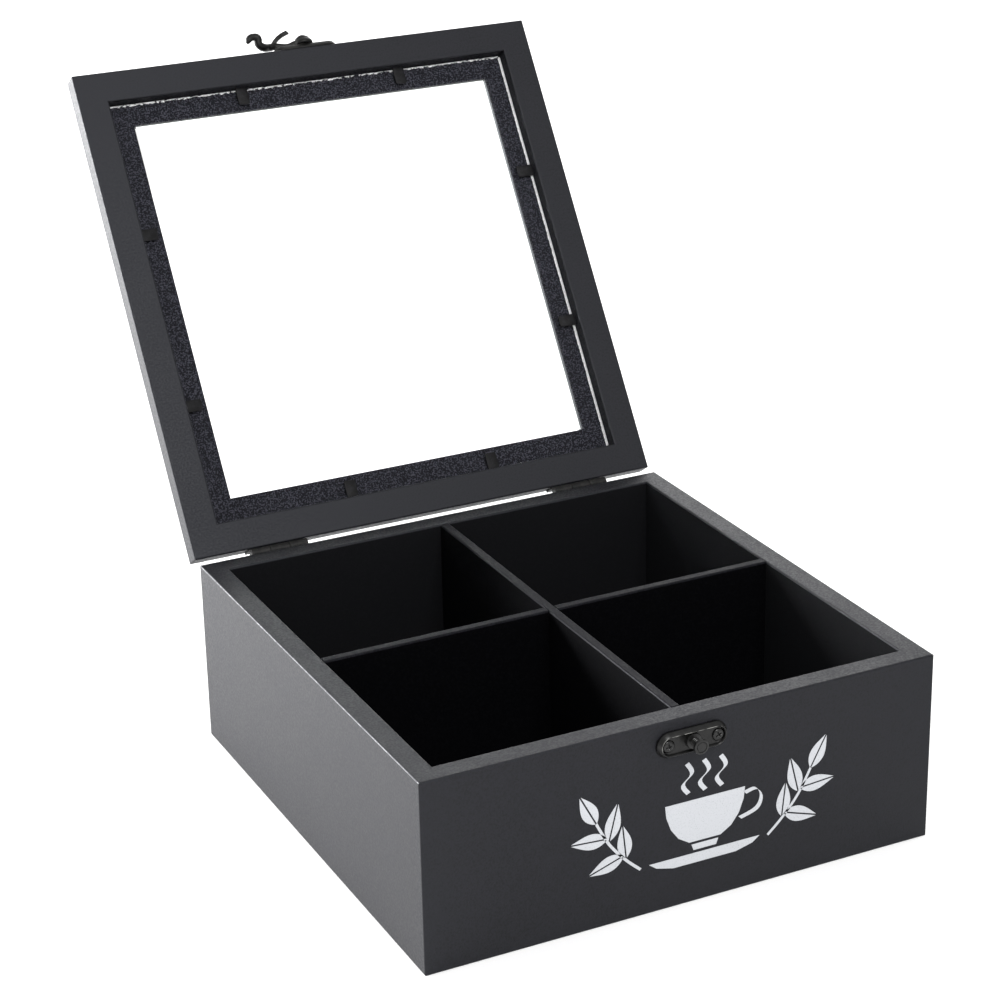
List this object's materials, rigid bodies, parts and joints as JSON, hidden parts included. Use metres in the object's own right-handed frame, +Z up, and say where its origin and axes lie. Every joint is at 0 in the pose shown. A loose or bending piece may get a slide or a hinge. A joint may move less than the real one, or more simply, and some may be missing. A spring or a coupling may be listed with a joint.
{
  "type": "tea bag organizer box",
  "caption": "Square wooden tea box with a hinged glass lid, crossed dividers and a swing hook latch.",
  "frame": {"origin": "centre of the underside of the box, on the surface it stands on", "axes": "+Z up, the latch is on the front wall at -Y, the hinges are on the back wall at +Y, +X to the right seen from the front"},
  "size_m": [0.24, 0.4016, 0.2949],
  "materials": {
    "black_painted_wood": "satin black paint",
    "dark_inner_wood": "matt black paint",
    "clear_glass": "clear",
    "black_metal": "semi-gloss black",
    "dark_steel": "blackened"
  },
  "bodies": {
    "box": {"front_wall": "black_painted_wood", "back_wall": "black_painted_wood", "left_wall": "black_painted_wood", "right_wall": "black_painted_wood", "bottom_panel": "dark_inner_wood", "long_divider": "dark_inner_wood", "cross_divider": "dark_inner_wood", "left_hinge_box_leaf": "black_metal", "right_hinge_box_leaf": "black_metal", "left_hinge_pin": "dark_steel", "right_hinge_pin": "dark_steel", "hinge_box_screws": "black_metal", "catch_plate": "black_metal", "catch_screws": "black_metal", "catch_stud": "black_metal"},
    "lid": {"lid_front_rail": "black_painted_wood", "lid_back_rail": "black_painted_wood", "lid_left_rail": "black_painted_wood", "lid_right_rail": "black_painted_wood", "glass_pane": "clear_glass", "front_glass_points": "black_metal", "back_glass_points": "black_metal", "left_glass_points": "black_metal", "right_glass_points": "black_metal", "left_hinge_lid_leaf": "black_metal", "right_hinge_lid_leaf": "black_metal", "hinge_lid_screws": "black_metal", "latch_plate": "black_metal", "latch_screws": "black_metal", "latch_rivet": "dark_steel"},
    "hook": {"latch_hook": "black_metal"}
  },
  "joints": [
    {"name": "lid_hinge", "type": "hinge", "parent": "box", "child": "lid", "pos_m": [0, 0.1228, 0.0858], "axis": [1, 0, 0], "range_deg": [0, 123.5]},
    {"name": "hook_swing", "type": "hinge", "parent": "lid", "child": "hook", "pos_m": [0.0015, 0.26223, 0.28468], "axis": [0, 0.5519, 0.8339], "range_deg": [-90, 90]}
  ]
}
